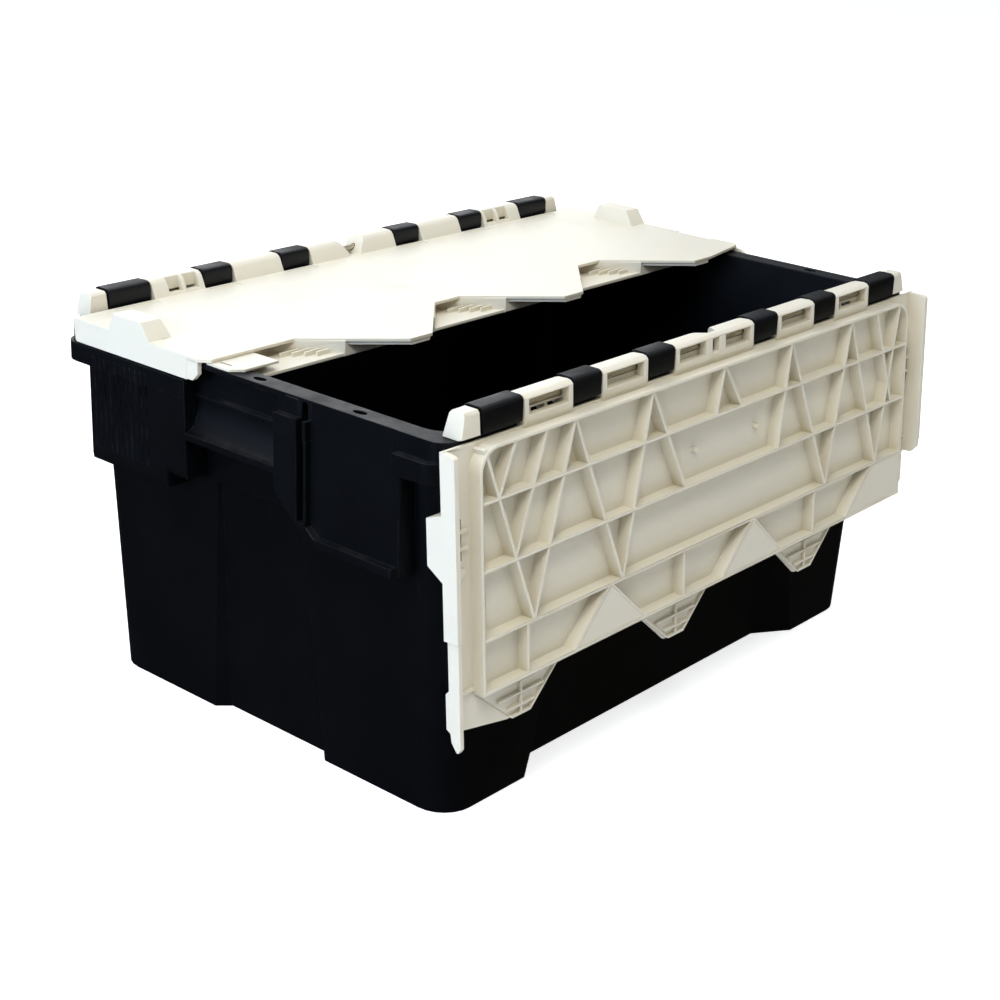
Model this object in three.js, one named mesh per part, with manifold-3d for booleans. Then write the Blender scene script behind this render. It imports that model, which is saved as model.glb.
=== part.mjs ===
// Attached lid tote: a black moulded body with two ivory lids that swing on steel rods.
// Origin at the bottom centre, X along the length, Y across the width, Z up, millimetres.
// Rest position: rear lid closed, front lid swung right over and hanging outside the body.
import * as THREE from 'three';
import { mergeVertices } from 'three/addons/utils/BufferGeometryUtils.js';
import { ConvexGeometry } from 'three/addons/geometries/ConvexGeometry.js';
import Module from 'manifold-3d';

const wasm = await Module();
wasm.setup();

// ---- overall size ----
const LENGTH = 600;
const WIDTH = 400;
const RIM_Z = 290.6;

// ---- hinge lines, one along each long side ----
const HINGE_Y = 191;
const HINGE_Z = 300;
const OPEN_DEG = 266;
const ROD_R = 2.25;
const ROD_HALF = 274;
const BORE_R = 2.65;
const BODY_KNUCKLES = [[52, 83], [138, 168], [222, 262]];
const LID_KNUCKLES = [[84.5, 136.5], [169.5, 220.5]];
const CAP_FROM = 263.5;
const CAP_TO = 281.5;
const CAP_LEAN = 4;
const CAP_LOW = -9.1;
const CAP_TOP = 9;

// ---- body ----
const BASE_X = 267;
const BASE_Y = 183;
const TOP_X = 281;
const TOP_Y = 188;
const CORNER_R = 26;
const WALL = 3;
const FLOOR_Z = 8;
const COLLAR_X = 293.3;
const COLLAR_Y = WIDTH / 2 - 5;
const COLLAR_Z = 262;
const FLANGE_X = LENGTH / 2 - 1;
const FLANGE_TOP = 276.5;
const MOUTH_X = 277;
const MOUTH_Y = 184;
const RELIEF_Z = 287.2;

// ---- lid levels, heights measured from the hinge axis ----
const LID_TOP = -4;
const LID_UNDER = -6.6;
const TIP_RIB = -9.6;
const SHELF_TOP = -6.9;
const CHANNEL_LOW = -8.9;
const TONGUE_TOP = -15;
const RIB_TIP = -17.5;
const SKIRT_LOW = -22;
const LONG_LOW = -16.6;
const LUG_TOP = 9;
const LUG_ROOM = LUG_TOP - 2.6;

// ---- lid plan, distances measured from the hinge axis towards the middle ----
const PLATE_EDGE = 12;
const FRAME_NEAR = 14.5;
const FRAME_FAR = 187;
const FRAME_X = 275;
const ROOT_D = 162;
const TIP_D = 219;
const TOOTH_PITCH = 182;
const TIP_HALF = 12;
const ROOT_HALF = 76;
const SKIRT_X = 294.5;
const LID_X = 299;
const SKIRT_START = 14;
const SKIRT_SEAM = 142;
const SHORT_SKIRT = 154;
const LONG_SKIRT = 221;
const END_FAR = 209;
const LUG_BASE = [55, 102];
const LUG_CREST = [59, 92];
const RIB = 2.2;
const TEETH = [-1.25, -0.25, 0.75].map((k) => k * TOOTH_PITCH);

// ---- solids from three.js geometry ----
function toSolid(geometry) {
  geometry.deleteAttribute('normal');
  geometry.deleteAttribute('uv');
  const merged = mergeVertices(geometry, 1e-4);
  return new wasm.Manifold(new wasm.Mesh({
    numProp: 3,
    vertProperties: new Float32Array(merged.attributes.position.array),
    triVerts: new Uint32Array(merged.index.array),
  }));
}

function toGeometry(solid) {
  const mesh = solid.getMesh();
  const geometry = new THREE.BufferGeometry();
  geometry.setAttribute('position', new THREE.BufferAttribute(new Float32Array(mesh.vertProperties), 3));
  geometry.setIndex(new THREE.BufferAttribute(new Uint32Array(mesh.triVerts), 1));
  geometry.computeVertexNormals();
  return geometry;
}

const add = (solids) => solids.reduce((a, b) => a.add(b));
const cut = (solid, tools) => solid.subtract(add(tools));

function box(x0, x1, y0, y1, z0, z1) {
  const geometry = new THREE.BoxGeometry(x1 - x0, y1 - y0, z1 - z0);
  geometry.translate((x0 + x1) / 2, (y0 + y1) / 2, (z0 + z1) / 2);
  return toSolid(geometry);
}

function hull(points) {
  return toSolid(new ConvexGeometry(points.map((p) => new THREE.Vector3(...p))));
}

const outline = (points) => new THREE.Shape(points.map((p) => new THREE.Vector2(...p)));

// A plan outline raised from z0 to z1.
function prismUp(points, z0, z1) {
  const geometry = new THREE.ExtrudeGeometry(outline(points), { depth: z1 - z0, bevelEnabled: false });
  geometry.translate(0, 0, z0);
  return toSolid(geometry);
}

// A side profile in (y, z) drawn along x.
function prismAlong(points, x0, x1) {
  const geometry = new THREE.ExtrudeGeometry(outline(points), { depth: x1 - x0, bevelEnabled: false });
  const turn = new THREE.Matrix4().makeBasis(
    new THREE.Vector3(0, 1, 0),
    new THREE.Vector3(0, 0, 1),
    new THREE.Vector3(1, 0, 0),
  );
  geometry.applyMatrix4(turn);
  geometry.translate(x0, 0, 0);
  return toSolid(geometry);
}

// A round pin or bore along x, centred on the hinge axis.
function roundAlong(radius, x0, x1, segments = 20) {
  const geometry = new THREE.CylinderGeometry(radius, radius, x1 - x0, segments);
  geometry.rotateZ(Math.PI / 2);
  geometry.translate((x0 + x1) / 2, 0, 0);
  return toSolid(geometry);
}

function roundedRect(halfX, halfY, radius, steps = 6) {
  const points = [];
  for (let corner = 0; corner < 4; corner += 1) {
    const cx = (corner === 0 || corner === 3 ? 1 : -1) * (halfX - radius);
    const cy = (corner < 2 ? 1 : -1) * (halfY - radius);
    for (let i = 0; i <= steps; i += 1) {
      const a = (corner + i / steps) * Math.PI / 2;
      points.push([cx + radius * Math.cos(a), cy + radius * Math.sin(a)]);
    }
  }
  return points;
}

const block = (halfX, halfY, radius, z0, z1) => prismUp(roundedRect(halfX, halfY, radius), z0, z1);

// A rounded block whose sides lean outward from the bottom size to the top size.
function tapered([x0, y0], [x1, y1], radius, z0, z1) {
  const plan = roundedRect(x0, y0, radius);
  const geometry = new THREE.ExtrudeGeometry(outline(plan), { depth: z1 - z0, bevelEnabled: false });
  const position = geometry.attributes.position;
  for (let i = 0; i < position.count; i += 1) {
    const t = position.getZ(i) / (z1 - z0);
    position.setX(i, position.getX(i) * (1 + t * (x1 / x0 - 1)));
    position.setY(i, position.getY(i) * (1 + t * (y1 / y0 - 1)));
  }
  geometry.translate(0, 0, z0);
  return toSolid(geometry);
}

// A straight rib between two plan points.
function rib([x0, y0], [x1, y1], z0, z1, width = RIB) {
  const length = Math.hypot(x1 - x0, y1 - y0);
  const geometry = new THREE.BoxGeometry(length, width, z1 - z0);
  geometry.rotateZ(Math.atan2(y1 - y0, x1 - x0));
  geometry.translate((x0 + x1) / 2, (y0 + y1) / 2, (z0 + z1) / 2);
  return toSolid(geometry);
}

const turned = (solid) => solid.rotate([0, 0, 180]);
const bothEnds = (solids) => solids.flatMap((solid) => [solid, turned(solid)]);

// ---- body pieces ----
// Nesting recess: a wedge that leans inward towards the floor, grown by "skin" for the inside face.
function wallRecess(along, depth, wideHalf, narrowHalf, topZ, skin) {
  const at = (s, t, z) => (along === 'x' ? [s, t, z] : [t, s, z]);
  const outer = along === 'x' ? -(BASE_Y + 12) : -(BASE_X + 18);
  const face = along === 'x' ? -BASE_Y : -BASE_X;
  const lean = along === 'x' ? TOP_Y - BASE_Y : TOP_X - BASE_X;
  const topFace = face - lean * topZ / RIM_Z;
  const points = [];
  for (const side of [-1, 1]) {
    const low = face + depth + skin;
    points.push(at(side * (wideHalf + skin), face, -5));
    points.push(at(side * (narrowHalf + skin), low, -5));
    points.push(at(side * (wideHalf + skin), outer, -5));
    points.push(at(side * (wideHalf * 0.8 + skin), outer, topZ + skin));
    points.push(at(side * (narrowHalf * 0.8 + skin), topFace + 3 + skin, topZ + skin));
  }
  return hull(points);
}

function recesses(skin) {
  return bothEnds([
    wallRecess('x', 21, 182, 150, 200, skin),
    wallRecess('y', 10, 62, 52, 196, skin),
  ]);
}

function inside() {
  const insideTop = [TOP_X - WALL - 1, TOP_Y - WALL - 1];
  return tapered([BASE_X - WALL, BASE_Y - WALL], insideTop, CORNER_R - WALL, FLOOR_Z, RIM_Z + 1);
}

function shell() {
  const outside = tapered([BASE_X, BASE_Y], [TOP_X, TOP_Y], CORNER_R, 0, RIM_Z - 0.8);
  return cut(outside, recesses(0)).subtract(cut(inside(), recesses(WALL)));
}

// Pockets under the floor leave a grid of stiffening ribs that crosses at the centre.
function floorPockets() {
  const stepX = 80;
  const stepY = 72;
  const pockets = [];
  for (let x = -2.5 * stepX; x <= 2.5 * stepX; x += stepX) {
    for (let y = -1.5 * stepY; y <= 1.5 * stepY; y += stepY) {
      const halfX = stepX / 2 - 3;
      const halfY = stepY / 2 - 3;
      pockets.push(box(x - halfX, x + halfX, y - halfY, y + halfY, -1, FLOOR_Z - 4));
    }
  }
  return pockets;
}

// Rim: a ledge around the mouth with a deep outer collar, open underneath.
function rim() {
  const outer = block(COLLAR_X, COLLAR_Y, 13, COLLAR_Z + 0.6, RIM_Z);
  const flange = block(FLANGE_X, COLLAR_Y + 0.5, 18, COLLAR_Z, FLANGE_TOP);
  const hollow = block(COLLAR_X - 2.8, COLLAR_Y - 2.6, 11, COLLAR_Z - 1, RELIEF_Z - 2.4);
  const keep = block(TOP_X - 1, TOP_Y - 1, CORNER_R, COLLAR_Z - 2, RIM_Z);
  const mouth = block(MOUTH_X, MOUTH_Y, 22, COLLAR_Z - 3, RIM_Z + 1);
  return cut(outer.add(flange), [hollow.subtract(keep), mouth]);
}

// Stiffening webs inside the hollow rim.
function rimWebs() {
  const webs = [];
  for (const x of [-230, -152, -68, 68, 152, 230]) {
    webs.push(box(x - 1, x + 1, -COLLAR_Y + 1, -MOUTH_Y - 1, COLLAR_Z + 2, RIM_Z - 1));
  }
  for (const y of [-120, -60, 0, 60, 120]) {
    webs.push(box(-COLLAR_X + 1, -MOUTH_X - 1, y - 1, y + 1, COLLAR_Z + 2, RIM_Z - 1));
  }
  return bothEnds(webs);
}

// Hook shaped knuckle that wraps the hinge rod.
function bodyKnuckle(x0, x1) {
  const profile = [
    [-3.9, -13.5], [-3.9, -9.8], [-5.4, -8.4], [-9, -7.9], [-9, 6.4], [-8, 8.8], [-5.6, 10],
    [5.4, 10], [7.8, 9], [9, 6.6], [9, -3], [7, -7.5], [7, -13.5],
  ];
  const knuckle = prismAlong(profile, x0, x1).subtract(roundAlong(BORE_R, x0 - 1, x1 + 1));
  return knuckle.translate([0, -HINGE_Y, HINGE_Z]);
}

function bodyKnuckles() {
  const list = [];
  for (const [x0, x1] of BODY_KNUCKLES) {
    list.push(bodyKnuckle(x0, x1), bodyKnuckle(-x1, -x0));
  }
  return bothEnds(list);
}

// The rim drops between knuckles so that the lid knuckles can swing.
function knuckleReliefs() {
  const spans = [[-51.5, 51.5]];
  for (const [x0, x1] of LID_KNUCKLES) {
    spans.push([x0 - 1.2, x1 + 1.2], [-x1 - 1.2, -x0 + 1.2]);
  }
  return bothEnds(spans.map(([x0, x1]) => box(x0, x1, -COLLAR_Y - 3, -MOUTH_Y + 1, RELIEF_Z, RIM_Z + 1)));
}

// One end wall: ribbed pad, cove handle, post and recessed label panel.
const END_IN = -(TOP_X - 4);
const PAD_FACE = -FLANGE_X + 0.6;
const PAD_TOP = FLANGE_TOP;
const LABEL_Y = -70.4;

function hollowPad(y0, y1, z0, face, z1 = PAD_TOP) {
  const solid = hull([
    [END_IN, y0, z0], [END_IN, y1, z0], [END_IN, y0, z1], [END_IN, y1, z1],
    [face + 1.5, y0, z0], [face + 1.5, y1, z0], [face, y0 + 1, z0 + 5], [face, y1 - 1, z0 + 5],
    [face, y0 + 1, z1], [face, y1 - 1, z1],
  ]);
  const inside = box(face + 3.2, END_IN - 2.5, y0 + 2.6, y1 - 2.6, z0 - 1, z1 - 3);
  return solid.subtract(inside);
}

function ribbedPad() {
  const parts = [
    hollowPad(52, 90, 200, PAD_FACE),
    hollowPad(74, 163, 188, PAD_FACE),
  ];
  for (let i = 0; i < 11; i += 1) {
    const y = 96 + i * 6;
    parts.push(box(PAD_FACE - 0.7, PAD_FACE + 1, y - 0.8, y + 0.8, 200, PAD_TOP - 6));
  }
  return add(parts);
}

function coveHandle() {
  const profile = [];
  const steps = 8;
  for (let i = 0; i <= steps; i += 1) {
    const a = (i / steps) * Math.PI / 2;
    profile.push([-285 - 13.4 * (1 - Math.cos(a)), 260 - 24 * Math.sin(a)]);
  }
  profile.push([-298.4, 231], [-295, 231]);
  for (let i = steps; i >= 0; i -= 1) {
    const a = (i / steps) * Math.PI / 2;
    profile.push([-281 - 13.4 * (1 - Math.cos(a)), 258 - 22 * Math.sin(a)]);
  }
  profile.push([-277.5, 262], [-277.5, RIM_Z - 1], [-285, RIM_Z - 1]);
  profile.push([-285, 265.5], [-288, 264], [-288, 261.6], [-285.2, 260.6]);
  const geometry = new THREE.ExtrudeGeometry(outline(profile), { depth: 98, bevelEnabled: false });
  const turn = new THREE.Matrix4().makeBasis(
    new THREE.Vector3(1, 0, 0),
    new THREE.Vector3(0, 0, 1),
    new THREE.Vector3(0, -1, 0),
  );
  geometry.applyMatrix4(turn);
  geometry.translate(0, 54, 0);
  return toSolid(geometry);
}

// The post stands on a slanted foot and narrows into a neck that runs up the collar.
function post() {
  const wide = box(PAD_FACE, END_IN, -64, -41, 218, PAD_TOP);
  const foot = hull([
    [PAD_FACE, -64, 218.5], [PAD_FACE, -41, 218.5], [END_IN, -64, 218.5], [END_IN, -41, 218.5],
    [END_IN, -64, 196], [END_IN, -41, 206], [PAD_FACE, -64, 200],
  ]);
  const neck = hull([END_IN, -COLLAR_X - 0.8].flatMap((x) => [
    [x, -62.4, PAD_TOP - 1], [x, -43, PAD_TOP - 1], [x, -61, RIM_Z - 1.6], [x, -49, RIM_Z - 1.6],
  ]));
  return add([wide, foot, neck]);
}

// Recessed label field with a lip along its post side and its bottom, joined by a slanted corner.
function labelPanel() {
  const lipIn = -COLLAR_X + 1.5;
  const panel = hollowPad(-157, LABEL_Y, 187, -COLLAR_X + 0.3, RIM_Z - 2);
  const sideLip = box(PAD_FACE, lipIn, LABEL_Y - 2.6, LABEL_Y - 0.2, 199, PAD_TOP - 1);
  const lowLip = box(PAD_FACE, lipIn, -154, LABEL_Y - 10.6, 187.2, 193.5);
  const slant = hull([PAD_FACE, lipIn].flatMap((x) => [
    [x, LABEL_Y - 2.6, 200], [x, LABEL_Y - 0.2, 200], [x, LABEL_Y - 10.8, 193.5], [x, LABEL_Y - 10.8, 187.2],
  ]));
  const slotFloor = box(PAD_FACE + 1, END_IN, LABEL_Y - 0.4, -63.8, 197, 201.6);
  return add([panel, sideLip, lowLip, slant, slotFloor]);
}

// Openings in the collar: over the handle, over the label field and a deep slot beside the post.
function endWindow() {
  return [
    box(-305, -285, -41, 52, 228, RIM_Z - 3.5),
    box(-305, -COLLAR_X + 0.3, -154, LABEL_Y - 2.8, 193.5, RIM_Z + 1),
    box(-305, -289, LABEL_Y + 0.2, -64.2, 200, RIM_Z - 2.2),
  ];
}

function ledgeHoles() {
  const holes = [];
  for (const y of [-112, -14, 104]) {
    const geometry = new THREE.CylinderGeometry(3, 3, 14, 20);
    geometry.rotateX(Math.PI / 2);
    geometry.scale(1, 2, 1);
    geometry.translate(-285.5, y, RIM_Z - 1);
    holes.push(toSolid(geometry));
  }
  return bothEnds(holes);
}

function makeBody() {
  const frame = add([shell(), rim(), ...rimWebs()]);
  const opened = cut(frame, bothEnds(endWindow()));
  const fittings = add([ribbedPad(), coveHandle(), post(), labelPanel()]).subtract(inside());
  const solid = add([opened, ...bothEnds([fittings])]);
  const tools = [...floorPockets(), ...knuckleReliefs(), ...ledgeHoles()];
  return cut(solid, tools).add(add(bodyKnuckles()));
}

// ---- lid, drawn closed with x along the hinge, y away from it and z from the hinge axis ----
const toothHalf = (d) => TIP_HALF + (TIP_D - d) * (ROOT_HALF - TIP_HALF) / (TIP_D - ROOT_D);

function plateOutline() {
  const points = [[-LID_X, PLATE_EDGE], [LID_X, PLATE_EDGE], [LID_X, SHORT_SKIRT], [SKIRT_X - 2, ROOT_D]];
  for (const x of [...TEETH].reverse()) {
    points.push([x + ROOT_HALF, ROOT_D], [x + TIP_HALF, TIP_D], [x - TIP_HALF, TIP_D]);
    if (x !== TEETH[0]) {
      points.push([x - ROOT_HALF, ROOT_D]);
    }
  }
  points.push([-SKIRT_X - 1, END_FAR], [-SKIRT_X - 1, SKIRT_SEAM], [-LID_X, SKIRT_SEAM]);
  return points;
}

// Plan of the ribbed field, rounded at the two hinge-side corners.
function fieldOutline(inset) {
  const radius = 18 - inset;
  const points = [];
  for (const side of [-1, 1]) {
    for (let i = 0; i <= 5; i += 1) {
      const a = (side < 0 ? Math.PI : 1.5 * Math.PI) + (i / 5) * Math.PI / 2;
      const cx = side * (FRAME_X - 18);
      points.push([cx + radius * Math.cos(a), FRAME_NEAR + 18 + radius * Math.sin(a)]);
    }
  }
  points.push([FRAME_X - inset, FRAME_FAR - inset], [-FRAME_X + inset, FRAME_FAR - inset]);
  return points;
}

// Ribs under the plate: three along the hinge and a zigzag truss between them.
const LONG_RIBS = [52, 99, 148];
const [NEAR_RIB, MID_RIB, FAR_RIB] = LONG_RIBS;
const TRUSS = [
  [-269, FRAME_NEAR, -221, FAR_RIB], [-176, FRAME_NEAR, -221, FAR_RIB], [-176, FRAME_NEAR, -122, FAR_RIB],
  [-206, FRAME_NEAR, -240, MID_RIB], [-238, FRAME_NEAR, -256, NEAR_RIB], [-88, FRAME_NEAR, -122, FAR_RIB],
  [-88, FRAME_NEAR, -46, MID_RIB], [2, FRAME_NEAR, -8, NEAR_RIB], [2, FRAME_NEAR, 26, NEAR_RIB],
  [94, FRAME_NEAR, 78, MID_RIB], [94, FRAME_NEAR, 152, FAR_RIB], [184, FRAME_NEAR, 152, FAR_RIB],
  [184, FRAME_NEAR, 232, FAR_RIB], [224, FRAME_NEAR, 254, MID_RIB], [262, FRAME_NEAR, 232, FAR_RIB],
];

function ribField() {
  const parts = LONG_RIBS.map((d) => rib([-FRAME_X + 1, d], [FRAME_X - 1, d], RIB_TIP + 0.3, LID_UNDER + 1));
  for (const [x0, d0, x1, d1] of TRUSS) {
    parts.push(rib([x0, d0 + 1], [x1, d1], RIB_TIP + 0.8, LID_UNDER + 1, 2.6));
  }
  for (const x of TEETH) {
    parts.push(rib([x, FAR_RIB], [x, FRAME_FAR - 1], RIB_TIP + 1.1, LID_UNDER + 1));
  }
  const outer = prismUp(fieldOutline(0), RIB_TIP, LID_UNDER + 1);
  const inner = prismUp(fieldOutline(2.4), RIB_TIP - 1, LID_UNDER + 2);
  return add([outer.subtract(inner), ...parts]);
}

// Plan of each notch between teeth, from depth "near" to depth "far".
function notchPlan(index, near, far) {
  const left = TEETH[index];
  const last = index === TEETH.length - 1;
  const half = (d) => Math.min(toothHalf(d), TOOTH_PITCH / 2 - 1);
  const right = (d) => (last ? FRAME_X : TEETH[index + 1] - half(d));
  return [[left + half(near), near], [right(near), near], [right(far), far], [left + half(far), far]];
}

// A low tongue fills every notch and carries four short ribs on its upper side.
function tongue(index) {
  const plan = notchPlan(index, FAR_RIB, FRAME_FAR);
  const [nearLeft, nearRight, farRight, farLeft] = plan;
  const parts = [
    prismUp(plan, RIB_TIP + 0.5, TONGUE_TOP),
    rib(nearLeft, farLeft, RIB_TIP + 0.2, LID_UNDER + 1),
  ];
  if (index < TEETH.length - 1) {
    parts.push(rib(nearRight, farRight, RIB_TIP + 0.2, LID_UNDER + 1));
  }
  for (let k = 0; k < 4; k += 1) {
    const d = ROOT_D + 2 + k * 5;
    const x = TEETH[index] + toothHalf(d);
    parts.push(rib([x - 1, d], [x + 19 - k * 2, d], TONGUE_TOP - 0.5, TONGUE_TOP + 3.4, 1.6));
  }
  return add(parts);
}

// Under the tip of every tooth: shallow cross ribs, a centre rib and a wall along its edges.
function toothRibs() {
  const parts = [];
  const low = TIP_RIB + 0.4;
  for (const x of TEETH) {
    for (const d of [192, 202, 211]) {
      const half = toothHalf(d) - 7;
      parts.push(rib([x - half, d], [x + half, d], TIP_RIB, LID_UNDER + 1, 1.8));
    }
    parts.push(rib([x, FRAME_FAR - 1], [x, TIP_D - 1], TIP_RIB + 0.2, LID_UNDER + 1, 1.8));
    const near = toothHalf(FRAME_FAR) - 2;
    const far = TIP_HALF - 2;
    parts.push(rib([x + near, FRAME_FAR - 1], [x + far, TIP_D - 1.2], low, LID_UNDER + 1.2, 1.6));
    parts.push(rib([x - far, TIP_D - 1.4], [x + far, TIP_D - 1.4], low - 0.2, LID_UNDER + 0.8, 1.8));
    if (x !== TEETH[0]) {
      parts.push(rib([x - near, FRAME_FAR - 1], [x - far, TIP_D - 1.2], low + 0.6, LID_UNDER + 1.4, 1.4));
    }
  }
  return add(parts);
}

const endX = (side, a, b) => (side < 0 ? [-b, -a] : [a, b]);

// Skirt down one end, slanted at its hinge end and set back a little beyond the moulded seam.
function skirt(side, setBack, low, tipProfile) {
  const main = [
    [PLATE_EDGE + 0.5, LID_TOP], [PLATE_EDGE + 0.8, -10], [SKIRT_START, low + 1.5],
    [SKIRT_START + 1.5, low], [SKIRT_SEAM, low], [SKIRT_SEAM, LID_TOP],
  ];
  return add([
    prismAlong(main, ...endX(side, SKIRT_X, LID_X)),
    prismAlong(tipProfile, ...endX(side, SKIRT_X, LID_X - setBack)),
  ]);
}

const LONG_TIP = [
  [SKIRT_SEAM - 2, LID_TOP - 3], [SKIRT_SEAM - 2, LONG_LOW + 0.6], [LONG_SKIRT - 3, LONG_LOW + 0.6],
  [LONG_SKIRT, LONG_LOW + 3], [LONG_SKIRT, -12.4], [LONG_SKIRT - 7, -7.6], [END_FAR - 1, LID_TOP - 3],
  [END_FAR - 3, LID_TOP + 0.3], [180, LID_TOP + 0.3], [177, LID_TOP - 3],
];
const SHORT_TIP = [
  [SKIRT_SEAM - 2, LID_TOP - 0.3], [SKIRT_SEAM - 2, SKIRT_LOW + 0.5], [SHORT_SKIRT - 6, SKIRT_LOW + 0.5],
  [SHORT_SKIRT - 0.3, SKIRT_LOW + 6], [SHORT_SKIRT - 0.3, LID_TOP - 0.3],
];

// Stacking lug that stands above the plate, hollow underneath.
function lug(side) {
  const points = [];
  for (const v of [LID_X, SKIRT_X - 17]) {
    points.push(...LUG_BASE.map((d) => [side * v, d, LID_TOP - 1]));
  }
  for (const v of [LID_X, SKIRT_X - 14]) {
    points.push(...LUG_CREST.map((d) => [side * v, d, LUG_TOP]));
  }
  const [near, far] = LUG_CREST;
  const hollow = box(...endX(side, SKIRT_X - 12, SKIRT_X + 1.8), near + 2, far - 2, LID_UNDER - 1, LUG_ROOM);
  return { solid: hull(points), hollow };
}

// Between frame and skirt: two fins in each lug, a boss and a cross rib.
function channelDetails() {
  const parts = [];
  for (const side of [-1, 1]) {
    for (const d of [69, 81]) {
      const root = side * (SKIRT_X + 2.2);
      const reach = side * (SKIRT_X - 11);
      parts.push(hull([-0.9, 0.9].flatMap((t) => [
        [root, d + t, LUG_ROOM + 0.6], [root, d + t, CHANNEL_LOW],
        [reach, d + t, LUG_ROOM + 0.6], [reach, d + t, LID_UNDER - 1],
      ])));
      parts.push(rib([side * 278.5, d], [side * (SKIRT_X + 1), d], CHANNEL_LOW + 0.1, LID_UNDER + 0.8));
    }
    const boss = new THREE.CylinderGeometry(3.2, 3.6, 6, 20);
    boss.rotateX(Math.PI / 2);
    boss.translate(side * 285, 98, CHANNEL_LOW + 3);
    parts.push(toSolid(boss));
  }
  const low = CHANNEL_LOW + 0.2;
  parts.push(rib([FRAME_X - 1, 140], [SKIRT_X + 1, 140], low, LID_UNDER + 1));
  parts.push(rib([-SKIRT_X - 1, FRAME_FAR - 4], [-FRAME_X + 1, FRAME_FAR - 4], low, LID_UNDER + 1));
  return add(parts);
}

// Shelf beside the short skirt, one step below the plate, with a slot for a seal.
function endShelf() {
  const near = ROOT_D - 5;
  const low = SHELF_TOP - 2;
  const plan = [[252, near], [293, near], [293, 180], [284, 188], [252, 188]];
  const riser = box(252, 293, near, near + 2.4, low + 0.3, LID_UNDER + 1);
  const leg = box(252, 254.4, near, 175, RIB_TIP + 1.4, SHELF_TOP - 0.5);
  const slot = box(284, 286.2, 163, 175, low - 2, SHELF_TOP + 1);
  return add([prismUp(plan, low, SHELF_TOP), riser, leg]).subtract(slot);
}

// Shallow groove under the corner where the long skirt meets the first tooth.
function cornerGroove() {
  return rib([-FRAME_X + 3, FRAME_FAR + 2], [TEETH[0] - TIP_HALF, TIP_D - 3], LID_UNDER - 1, LID_UNDER + 0.9, 1.2);
}

function lidKnuckle(x0, x1) {
  const profile = [
    [15.5, -6.4], [10, -9], [-6, -9], [-8.2, -7], [-9, -4], [-9, 3.6], [-8.2, 6.6], [-6.4, 8.6],
    [-3.6, 9.6], [3.4, 9.6], [6.4, 8.4], [8.4, 6], [13, -4.2],
  ];
  const slot = box(x0 + 4.6, x1 - 4.6, -5.2, 6, -10, -1.2);
  return cut(prismAlong(profile, x0, x1), [slot, roundAlong(BORE_R, x0 - 1, x1 + 1)]);
}

function lidKnuckles() {
  const valley = hull([-16, 17].flatMap((d) => [
    [-5, d, LID_TOP], [5, d, LID_TOP], [-16, d, 11], [16, d, 11],
  ]));
  const centre = add([lidKnuckle(-50.5, -8), lidKnuckle(8, 50.5), lidKnuckle(-9, 9)]).subtract(valley);
  const list = [centre];
  for (const [x0, x1] of LID_KNUCKLES) {
    list.push(lidKnuckle(x0, x1), lidKnuckle(-x1, -x0));
  }
  return add(list);
}

// Two open pockets in each outer knuckle, and a shallow one in the plate beside every body knuckle.
function lidPockets() {
  const pockets = [];
  const inner = LID_KNUCKLES[1][0];
  for (const from of [inner + 4.4, inner + 21.7]) {
    const to = from + 14;
    pockets.push(box(from, to, 4.4, 14, -2.4, 12), box(-to, -from, 4.4, 14, -2.4, 12));
  }
  for (const [x0, x1] of BODY_KNUCKLES) {
    for (const from of [x0, -x1]) {
      pockets.push(box(from, from + x1 - x0, 14.5, 22, LID_TOP - 0.8, LID_TOP + 1));
    }
  }
  return pockets;
}

function makeLid() {
  const plate = prismUp(plateOutline(), LID_UNDER, LID_TOP);
  const notchCuts = TEETH.map((x, i) => prismUp(notchPlan(i, ROOT_D, FRAME_FAR + 1), TONGUE_TOP - 0.4, 0));
  const field = cut(ribField(), notchCuts);
  const lugs = [lug(-1), lug(1)];
  const pins = [-25, 57].map((x) => {
    const pin = new THREE.CylinderGeometry(1.9, 1.9, 5, 16);
    pin.rotateX(Math.PI / 2);
    return toSolid(pin).translate([x, 76, LID_UNDER - 2]);
  });
  const tongues = TEETH.map((x, i) => tongue(i));
  const skirts = [skirt(-1, 0.9, LONG_LOW, LONG_TIP), skirt(1, 0.5, SKIRT_LOW, SHORT_TIP)];
  const lower = add([plate, field, ...tongues, toothRibs(), endShelf(), ...pins, ...skirts]);
  const withLugs = cut(add([lower, ...lugs.map((l) => l.solid)]), [cornerGroove(), ...lugs.map((l) => l.hollow)]);
  return cut(add([withLugs, channelDetails(), lidKnuckles()]), lidPockets());
}

// ---- hinge rods and their end caps ----
// A short block that tapers towards its top and its outer end.
function makeCap() {
  const profile = [
    [-4.8, CAP_LOW], [-8.8, CAP_LOW + 1.2], [-7.2, CAP_TOP - 2], [-5.4, CAP_TOP], [5.4, CAP_TOP],
    [7.4, CAP_TOP - 2], [9.8, CAP_LOW],
  ];
  const lean = (z) => CAP_LEAN * (z - CAP_LOW) / (CAP_TOP - CAP_LOW);
  const solid = hull([
    ...profile.map(([y, z]) => [CAP_FROM, y, z]),
    ...profile.map(([y, z]) => [CAP_TO - lean(z), y * 0.92, z]),
  ]);
  return solid.subtract(roundAlong(BORE_R, CAP_FROM - 5, ROD_HALF + 0.6));
}

// ---- assembly ----
const IVORY = { color: 0xe6dfcb, roughness: 0.42, metalness: 0 };
const BLACK = { color: 0x15171b, roughness: 0.46, metalness: 0 };
const STEEL = { color: 0xb3a78d, roughness: 0.34, metalness: 1 };

const group = new THREE.Group();
group.name = 'attached_lid_tote';

function place(name, solid, look) {
  const mesh = new THREE.Mesh(toGeometry(solid), new THREE.MeshStandardMaterial(look));
  mesh.name = name;
  group.add(mesh);
}

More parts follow.
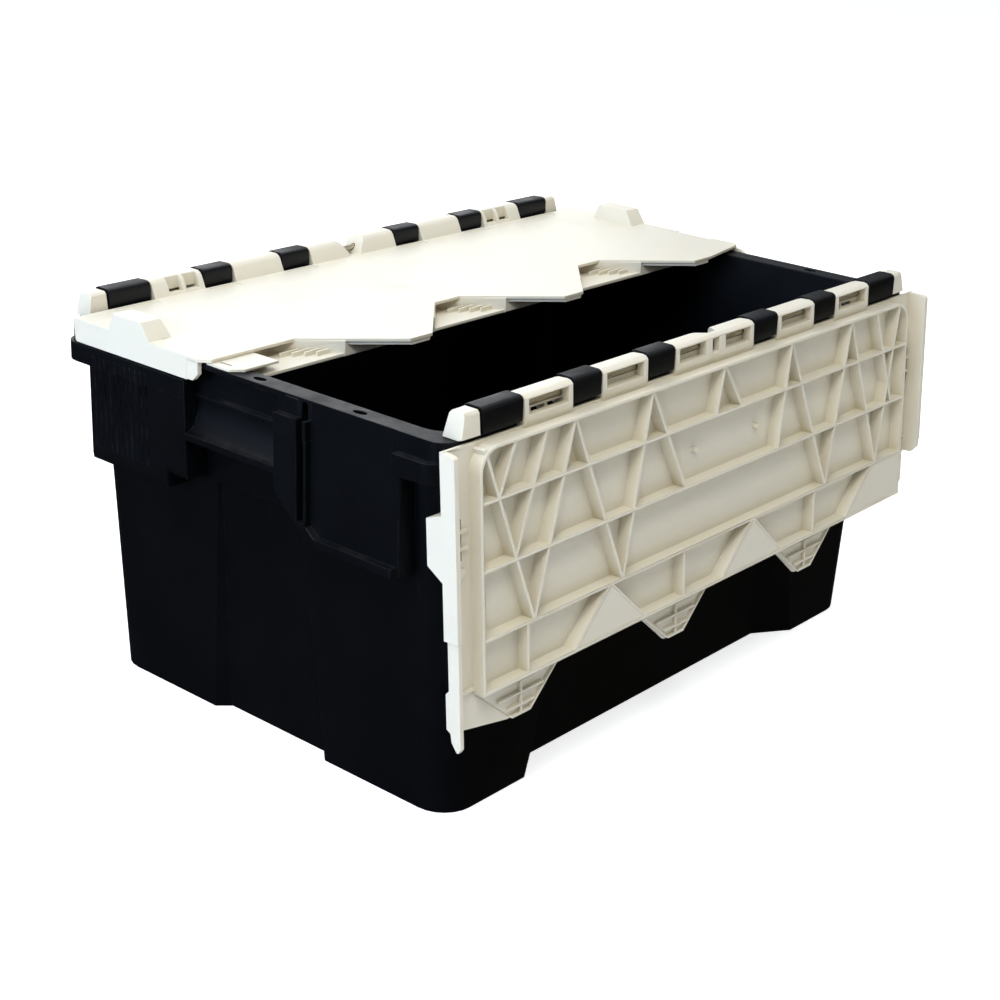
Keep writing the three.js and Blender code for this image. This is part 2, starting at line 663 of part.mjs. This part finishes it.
const atFrontHinge = (solid) => solid.translate([0, -HINGE_Y, HINGE_Z]);
const atRearHinge = (solid) => turned(atFrontHinge(solid));

const lid = makeLid();
const rod = roundAlong(ROD_R, -ROD_HALF, ROD_HALF, 24);
const cap = makeCap();
const capMirror = cap.mirror([1, 0, 0]);

place('tote_body', makeBody(), BLACK);
place('front_lid', atFrontHinge(lid.rotate([OPEN_DEG, 0, 0])), IVORY);
place('rear_lid', atRearHinge(lid), IVORY);
place('front_hinge_rod', atFrontHinge(rod), STEEL);
place('rear_hinge_rod', atRearHinge(rod), STEEL);
place('front_right_hinge_cap', atFrontHinge(cap), IVORY);
place('front_left_hinge_cap', atFrontHinge(capMirror), IVORY);
place('rear_left_hinge_cap', atRearHinge(cap), IVORY);
place('rear_right_hinge_cap', atRearHinge(capMirror), IVORY);

export default group;
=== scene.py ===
"""Looks for the attached lid tote: plastics, zinc-plated rods, floor, soft light and camera."""
import math

import bpy
from mathutils import Matrix, Vector


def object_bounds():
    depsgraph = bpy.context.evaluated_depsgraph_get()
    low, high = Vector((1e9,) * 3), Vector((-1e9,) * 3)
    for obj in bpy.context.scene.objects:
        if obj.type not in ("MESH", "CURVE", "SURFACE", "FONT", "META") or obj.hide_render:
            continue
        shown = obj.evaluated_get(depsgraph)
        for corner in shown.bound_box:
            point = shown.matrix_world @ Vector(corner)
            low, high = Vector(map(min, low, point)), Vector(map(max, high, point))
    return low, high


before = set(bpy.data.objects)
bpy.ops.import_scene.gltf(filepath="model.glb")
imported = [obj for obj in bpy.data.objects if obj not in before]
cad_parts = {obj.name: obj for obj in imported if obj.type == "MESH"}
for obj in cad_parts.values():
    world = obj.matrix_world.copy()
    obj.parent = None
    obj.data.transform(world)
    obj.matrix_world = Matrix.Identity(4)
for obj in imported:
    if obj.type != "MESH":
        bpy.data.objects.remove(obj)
cad_low, cad_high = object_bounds()

MM = 0.001

# Moulding radii of the CAD nodes and how their edges are found.
BODY_RADIUS = 0.35 * MM
LID_RADIUS = 0.4 * MM
ROD_RADIUS = 0.3 * MM
CAP_RADIUS = 0.7 * MM
CAP_SEGMENTS = 3
BEVEL_FROM_DEG = 34
SMOOTH_UP_TO_DEG = 32
WELD_GAP = 0.005 * MM

FLOOR_HALF = 6.0
FLOOR_GAP = 0.2 * MM
FLOOR_GLOW = 0.68        # emission that only the camera sees, so the floor looks as pale as paper

CAMERA_AZIMUTH_DEG = -49.93
CAMERA_ELEVATION_DEG = 21.33
CAMERA_ROLL_DEG = 2.42
CAMERA_DISTANCE = 1564.1 * MM
CAMERA_TARGET = Vector((-1.8, 2.1, 118.9)) * MM
SENSOR_WIDTH = 36
FOCAL_OVER_WIDTH = 1.85386
LIGHT_TARGET = (0, 0, 0.15)


# ---- soft moulded edges on the CAD nodes ----
def smooth_group(limit_deg):
    """Node group that shades smooth except across edges sharper than the limit."""
    group = bpy.data.node_groups.new("smooth_by_angle", "GeometryNodeTree")
    group.interface.new_socket("Geometry", in_out="INPUT", socket_type="NodeSocketGeometry")
    group.interface.new_socket("Geometry", in_out="OUTPUT", socket_type="NodeSocketGeometry")
    nodes, links = group.nodes, group.links
    source = nodes.new("NodeGroupInput")
    sink = nodes.new("NodeGroupOutput")
    angle = nodes.new("GeometryNodeInputMeshEdgeAngle")
    compare = nodes.new("FunctionNodeCompare")
    compare.data_type = "FLOAT"
    compare.operation = "GREATER_THAN"
    compare.inputs[1].default_value = math.radians(limit_deg)
    faces = nodes.new("GeometryNodeSetShadeSmooth")
    faces.domain = "FACE"
    edges = nodes.new("GeometryNodeSetShadeSmooth")
    edges.domain = "EDGE"
    edges.inputs["Shade Smooth"].default_value = False
    links.new(source.outputs[0], faces.inputs["Geometry"])
    links.new(faces.outputs[0], edges.inputs["Geometry"])
    links.new(angle.outputs[0], compare.inputs[0])
    links.new(compare.outputs[0], edges.inputs["Selection"])
    links.new(edges.outputs[0], sink.inputs[0])
    return group


SMOOTH = smooth_group(SMOOTH_UP_TO_DEG)


def soften(piece, width, segments=2):
    """Rounds the hard edges of a CAD node with modifiers, leaving its own mesh alone."""
    weld = piece.modifiers.new("weld", "WELD")
    weld.merge_threshold = WELD_GAP
    bevel = piece.modifiers.new("edge_radius", "BEVEL")
    bevel.width = width
    bevel.segments = segments
    bevel.limit_method = "ANGLE"
    bevel.angle_limit = math.radians(BEVEL_FROM_DEG)
    bevel.use_clamp_overlap = False
    bevel.miter_outer = "MITER_SHARP"
    shade = piece.modifiers.new("shade", "NODES")
    shade.node_group = SMOOTH
    normals = piece.modifiers.new("normals", "WEIGHTED_NORMAL")
    normals.keep_sharp = True
    normals.weight = 60


# ---- material building ----
class Graph:
    """Short names for building a material's node graph."""

    def __init__(self, name):
        self.material = bpy.data.materials.new(name)
        self.material.use_nodes = True
        self.tree = self.material.node_tree
        self.tree.nodes.clear()
        self.output = self.node("ShaderNodeOutputMaterial")
        self.shader = self.node("ShaderNodeBsdfPrincipled")
        self.link(self.shader.outputs[0], self.output.inputs["Surface"])
        self.place = self.node("ShaderNodeTexCoord").outputs["Object"]

    def node(self, kind, **values):
        made = self.tree.nodes.new(kind)
        for key, value in values.items():
            setattr(made, key, value)
        return made

    def link(self, a, b):
        self.tree.links.new(a, b)

    def put(self, socket, value):
        if isinstance(value, bpy.types.NodeSocket):
            self.link(value, socket)
        else:
            socket.default_value = value

    def stretched(self, scale, turn=(0, 0, 0)):
        made = self.node("ShaderNodeMapping")
        made.inputs["Scale"].default_value = scale
        made.inputs["Rotation"].default_value = [math.radians(a) for a in turn]
        self.link(self.place, made.inputs["Vector"])
        return made.outputs[0]

    def noise(self, scale, detail=3, rough=0.5, place=None, warp=0.0):
        made = self.node("ShaderNodeTexNoise")
        self.put(made.inputs["Vector"], place or self.place)
        made.inputs["Scale"].default_value = scale
        made.inputs["Detail"].default_value = detail
        made.inputs["Roughness"].default_value = rough
        made.inputs["Distortion"].default_value = warp
        return made.outputs["Fac"]

    def remap(self, value, low, high, to_low=0.0, to_high=1.0, smooth=False):
        made = self.node("ShaderNodeMapRange")
        made.interpolation_type = "SMOOTHSTEP" if smooth else "LINEAR"
        self.put(made.inputs["Value"], value)
        made.inputs["From Min"].default_value = low
        made.inputs["From Max"].default_value = high
        made.inputs["To Min"].default_value = to_low
        made.inputs["To Max"].default_value = to_high
        return made.outputs[0]

    def math(self, operation, a, b=0.0, clamp=False):
        made = self.node("ShaderNodeMath", operation=operation, use_clamp=clamp)
        self.put(made.inputs[0], a)
        self.put(made.inputs[1], b)
        return made.outputs[0]

    def mix(self, share, a, b):
        made = self.node("ShaderNodeMix", data_type="RGBA")
        self.put(made.inputs[0], share)
        self.put(made.inputs[6], a)
        self.put(made.inputs[7], b)
        return made.outputs[2]

    def bump(self, height, depth, strength=1.0, normal=None):
        made = self.node("ShaderNodeBump")
        made.inputs["Strength"].default_value = strength
        made.inputs["Distance"].default_value = depth
        self.put(made.inputs["Height"], height)
        if normal is not None:
            self.link(normal, made.inputs["Normal"])
        return made.outputs[0]

    def edges(self, radius, samples=4):
        """0 on flat surface, rising to 1 where rounding would bend it most, at the edges."""
        rounded = self.node("ShaderNodeBevel", samples=samples)
        rounded.inputs["Radius"].default_value = radius
        geometry = self.node("ShaderNodeNewGeometry")
        dot = self.node("ShaderNodeVectorMath", operation="DOT_PRODUCT")
        self.link(rounded.outputs[0], dot.inputs[0])
        self.link(geometry.outputs["Normal"], dot.inputs[1])
        return self.remap(dot.outputs["Value"], 0.995, 0.86, smooth=True)

    def corners(self, reach, samples=6):
        """0 in the open, 1 in tight corners."""
        made = self.node("ShaderNodeAmbientOcclusion", samples=samples)
        made.inputs["Distance"].default_value = reach
        return self.math("SUBTRACT", 1.0, made.outputs["AO"])

    def upward(self, low=0.6, high=0.95):
        geometry = self.node("ShaderNodeNewGeometry")
        split = self.node("ShaderNodeSeparateXYZ")
        self.link(geometry.outputs["Normal"], split.inputs[0])
        return self.remap(split.outputs["Z"], low, high, smooth=True)


def scratch_mask(graph, turn, seed_scale, low, high):
    """Fine straight scuffs that show only in loose patches."""
    lines = graph.noise(1, 2, 0.6, place=graph.stretched((22, 900, 22), turn))
    patches = graph.noise(seed_scale, 3, 0.55)
    fine = graph.remap(lines, low, high, smooth=True)
    return graph.math("MULTIPLY", fine, graph.remap(patches, 0.5, 0.66, smooth=True))


def black_plastic():
    graph = Graph("black_plastic")
    cloud = graph.noise(9, 4, 0.6)
    grain = graph.noise(1500, 2, 0.6)
    scuff_a = scratch_mask(graph, (12, 24, 8), 14, 0.62, 0.72)
    scuff_b = scratch_mask(graph, (70, -18, 64), 11, 0.63, 0.73)
    scuffs = graph.math("MAXIMUM", scuff_a, scuff_b)
    # Convex edges lightened in patches: partly rubbed wear, partly a painted highlight along the
    # edges.
    edge = graph.edges(1.1 * MM)
    worn_edge_and_highlight = graph.math("MULTIPLY", edge, graph.remap(graph.noise(60, 3, 0.7), 0.4, 0.62))
    dust_patch = graph.remap(graph.noise(34, 5, 0.65), 0.42, 0.7)
    dust = graph.math("MULTIPLY", graph.upward(), dust_patch)
    base = graph.mix(cloud, (0.0008, 0.0012, 0.0021, 1), (0.0018, 0.0025, 0.0042, 1))
    base = graph.mix(graph.math("MULTIPLY", scuffs, 0.08), base, (0.03, 0.032, 0.038, 1))
    # painted edge highlight, broken up in patches like wear
    base = graph.mix(graph.math("MULTIPLY", worn_edge_and_highlight, 0.28), base, (0.05, 0.055, 0.066, 1))
    base = graph.mix(graph.math("MULTIPLY", dust, 0.12), base, (0.09, 0.086, 0.078, 1))
    rough = graph.remap(cloud, 0.25, 0.75, 0.36, 0.5)
    rough = graph.math("ADD", rough, graph.math("MULTIPLY", scuffs, 0.05))
    rough = graph.math("ADD", rough, graph.math("MULTIPLY", dust, 0.2))
    graph.link(base, graph.shader.inputs["Base Color"])
    graph.link(rough, graph.shader.inputs["Roughness"])
    graph.shader.inputs["IOR"].default_value = 1.34
    ripple = graph.noise(45, 2, 0.5)
    normal = graph.bump(ripple, 0.05 * MM, 0.3)
    normal = graph.bump(grain, 0.03 * MM, 0.5, normal)
    graph.link(normal, graph.shader.inputs["Normal"])
    return graph.material


def ivory_plastic():
    graph = Graph("ivory_plastic")
    cloud = graph.noise(7, 4, 0.6)
    flow = graph.noise(1, 3, 0.55, place=graph.stretched((5, 26, 26), (0, 0, 18)), warp=0.6)
    grain = graph.noise(1300, 2, 0.6)
    scuffs = scratch_mask(graph, (4, 9, 33), 12, 0.6, 0.72)
    # Darker grey patches: partly smudged dirt, partly a painted dim reflection; they also roughen
    # the surface.
    smudge_and_reflection = graph.remap(graph.noise(17, 6, 0.68, warp=1.2), 0.56, 0.74, smooth=True)
    # Painted shade: warm darkening in corners, recesses and cells under ribs, from an occlusion
    # mask.
    corner = graph.corners(20 * MM)
    # More painted shade: browner and darker in patches deep in the corners.
    patchy_corner_shade = graph.math("MULTIPLY", corner, graph.remap(graph.noise(40, 4, 0.6), 0.35, 0.7))
    base = graph.mix(cloud, (0.80, 0.752, 0.625, 1), (0.83, 0.785, 0.66, 1))
    base = graph.mix(graph.remap(flow, 0.35, 0.7, 0, 0.35), base, (0.80, 0.77, 0.68, 1))
    # painted dim reflection mixed with smudge dirt
    base = graph.mix(graph.math("MULTIPLY", smudge_and_reflection, 0.05), base, (0.55, 0.52, 0.45, 1))
    base = graph.mix(graph.math("MULTIPLY", scuffs, 0.1), base, (0.5, 0.48, 0.43, 1))
    # painted corner shade, warm and darker in recesses
    base = graph.mix(graph.math("MULTIPLY", corner, 0.6), base, (0.52, 0.46, 0.31, 1))
    # painted patchy shade deep in the corners
    base = graph.mix(graph.math("MULTIPLY", patchy_corner_shade, 0.12), base, (0.40, 0.34, 0.22, 1))
    rough = graph.remap(cloud, 0.25, 0.75, 0.33, 0.46)
    rough = graph.math("ADD", rough, graph.math("MULTIPLY", smudge_and_reflection, 0.12))
    rough = graph.math("ADD", rough, graph.math("MULTIPLY", scuffs, 0.15))
    graph.link(base, graph.shader.inputs["Base Color"])
    graph.link(rough, graph.shader.inputs["Roughness"])
    graph.shader.inputs["IOR"].default_value = 1.48
    graph.shader.inputs["Subsurface Weight"].default_value = 0.12
    graph.shader.inputs["Subsurface Radius"].default_value = (3.2 * MM, 2.4 * MM, 1.2 * MM)
    graph.shader.inputs["Subsurface Scale"].default_value = 1.0
    ripple = graph.noise(38, 2, 0.5)
    normal = graph.bump(ripple, 0.14 * MM, 0.35)
    normal = graph.bump(grain, 0.02 * MM, 0.5, normal)
    graph.link(normal, graph.shader.inputs["Normal"])
    return graph.material


def zinc_rod():
    graph = Graph("zinc_rod")
    bloom = graph.noise(160, 4, 0.65)
    drawn = graph.noise(1, 2, 0.6, place=graph.stretched((30, 4200, 4200)))
    spots = graph.remap(graph.noise(420, 3, 0.7), 0.6, 0.74, smooth=True)
    base = graph.mix(bloom, (0.50, 0.45, 0.34, 1), (0.66, 0.61, 0.50, 1))
    base = graph.mix(graph.math("MULTIPLY", spots, 0.5), base, (0.34, 0.30, 0.22, 1))
    rough = graph.remap(bloom, 0.3, 0.7, 0.28, 0.46)
    graph.link(base, graph.shader.inputs["Base Color"])
    graph.link(rough, graph.shader.inputs["Roughness"])
    graph.shader.inputs["Metallic"].default_value = 1.0
    graph.link(graph.bump(drawn, 0.02 * MM, 0.6), graph.shader.inputs["Normal"])
    return graph.material


BLACK = black_plastic()
IVORY = ivory_plastic()
ZINC = zinc_rod()


def finish_node(name, material, radius, segments=2):
    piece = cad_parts[name]
    piece.data.materials.clear()
    piece.data.materials.append(material)
    soften(piece, radius, segments)


for node_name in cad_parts:
    if node_name == "tote_body":
        finish_node(node_name, BLACK, BODY_RADIUS)
    elif node_name.endswith("_rod"):
        finish_node(node_name, ZINC, ROD_RADIUS)
    elif node_name.endswith("_cap"):
        finish_node(node_name, IVORY, CAP_RADIUS, CAP_SEGMENTS)
    else:
        finish_node(node_name, IVORY, LID_RADIUS)


# ---- floor ----
def make_floor():
    mesh = bpy.data.meshes.new("floor")
    level = cad_low.z - FLOOR_GAP
    turns = [(-1, -1), (1, -1), (1, 1), (-1, 1)]
    corners = [(x * FLOOR_HALF, y * FLOOR_HALF, level) for x, y in turns]
    mesh.from_pydata(corners, [], [(0, 1, 2, 3)])
    floor = bpy.data.objects.new("floor", mesh)
    bpy.context.scene.collection.objects.link(floor)
    graph = Graph("pale_floor")
    tone = graph.remap(graph.noise(3, 3), 0.3, 0.7)
    base = graph.mix(tone, (0.86, 0.86, 0.86, 1), (0.89, 0.89, 0.89, 1))
    graph.link(base, graph.shader.inputs["Base Color"])
    graph.shader.inputs["Roughness"].default_value = 0.85
    seen = graph.node("ShaderNodeLightPath").outputs["Is Camera Ray"]
    graph.shader.inputs["Emission Color"].default_value = (1, 1, 1, 1)
    graph.link(graph.math("MULTIPLY", seen, FLOOR_GLOW), graph.shader.inputs["Emission Strength"])
    mesh.materials.append(graph.material)
    floor.visible_glossy = False


# ---- light ----
def area_light(name, place, target, size, power, colour=(1, 1, 1)):
    data = bpy.data.lights.new(name, "AREA")
    data.shape = "RECTANGLE"
    data.size, data.size_y = size
    data.energy = power
    data.color = colour
    light = bpy.data.objects.new(name, data)
    light.location = place
    light.rotation_mode = "QUATERNION"
    light.rotation_quaternion = (Vector(target) - Vector(place)).to_track_quat("-Z", "Y")
    bpy.context.scene.collection.objects.link(light)


def make_world():
    world = bpy.data.worlds.new("studio")
    world.use_nodes = True
    nodes, links = world.node_tree.nodes, world.node_tree.links
    nodes.clear()
    output = nodes.new("ShaderNodeOutputWorld")
    place = nodes.new("ShaderNodeTexCoord")
    split = nodes.new("ShaderNodeSeparateXYZ")
    ramp = nodes.new("ShaderNodeValToRGB")
    links.new(place.outputs["Generated"], split.inputs[0])
    links.new(split.outputs["Z"], ramp.inputs["Fac"])
    low, high = ramp.color_ramp.elements
    low.position, low.color = 0.0, (0.03, 0.026, 0.02, 1)
    high.position, high.color = 0.8, (0.42, 0.45, 0.5, 1)
    soft = nodes.new("ShaderNodeBackground")
    links.new(ramp.outputs[0], soft.inputs["Color"])
    backdrop = nodes.new("ShaderNodeBackground")
    backdrop.inputs["Color"].default_value = (1, 1, 1, 1)
    path = nodes.new("ShaderNodeLightPath")
    choose = nodes.new("ShaderNodeMixShader")
    links.new(path.outputs["Is Camera Ray"], choose.inputs[0])
    links.new(soft.outputs[0], choose.inputs[1])
    links.new(backdrop.outputs[0], choose.inputs[2])
    links.new(choose.outputs[0], output.inputs[0])
    bpy.context.scene.world = world


def make_lights():
    target = LIGHT_TARGET
    area_light("key", (-1.15, -0.95, 2.2), target, (0.9, 0.9), 30, (1.0, 0.985, 0.94))
    area_light("ceiling", (-0.2, 0.5, 2.3), target, (2.0, 1.6), 20, (0.98, 0.99, 1.0))
    area_light("left_window", (-2.3, 0.25, 0.9), target, (1.2, 1.1), 29, (0.54, 0.72, 1.0))
    area_light("front_fill", (1.1, -2.4, 0.7), target, (1.6, 1.0), 3.5, (1.0, 0.92, 0.74))
    area_light("rear_fill", (1.7, 2.2, 1.1), target, (1.8, 1.4), 16, (0.96, 0.98, 1.0))


# ---- camera ----
def make_camera():
    azimuth = math.radians(CAMERA_AZIMUTH_DEG)
    elevation = math.radians(CAMERA_ELEVATION_DEG)
    roll = math.radians(CAMERA_ROLL_DEG)
    back = Vector((
        math.sin(azimuth) * math.cos(elevation),
        -math.cos(azimuth) * math.cos(elevation),
        math.sin(elevation),
    ))
    level = Vector((math.cos(azimuth), math.sin(azimuth), 0))
    upright = back.cross(level)
    right = math.cos(roll) * level + math.sin(roll) * upright
    up = math.cos(roll) * upright - math.sin(roll) * level
    data = bpy.data.cameras.new("camera")
    data.sensor_width = SENSOR_WIDTH
    data.lens = FOCAL_OVER_WIDTH * SENSOR_WIDTH
    data.clip_start = 0.05
    camera = bpy.data.objects.new("camera", data)
    turn = Matrix((right, up, back)).transposed().to_4x4()
    camera.matrix_world = Matrix.Translation(CAMERA_TARGET + back * CAMERA_DISTANCE) @ turn
    bpy.context.scene.collection.objects.link(camera)
    bpy.context.scene.camera = camera


make_floor()
make_world()
make_lights()
make_camera()
bpy.context.scene.view_settings.view_transform = "Standard"
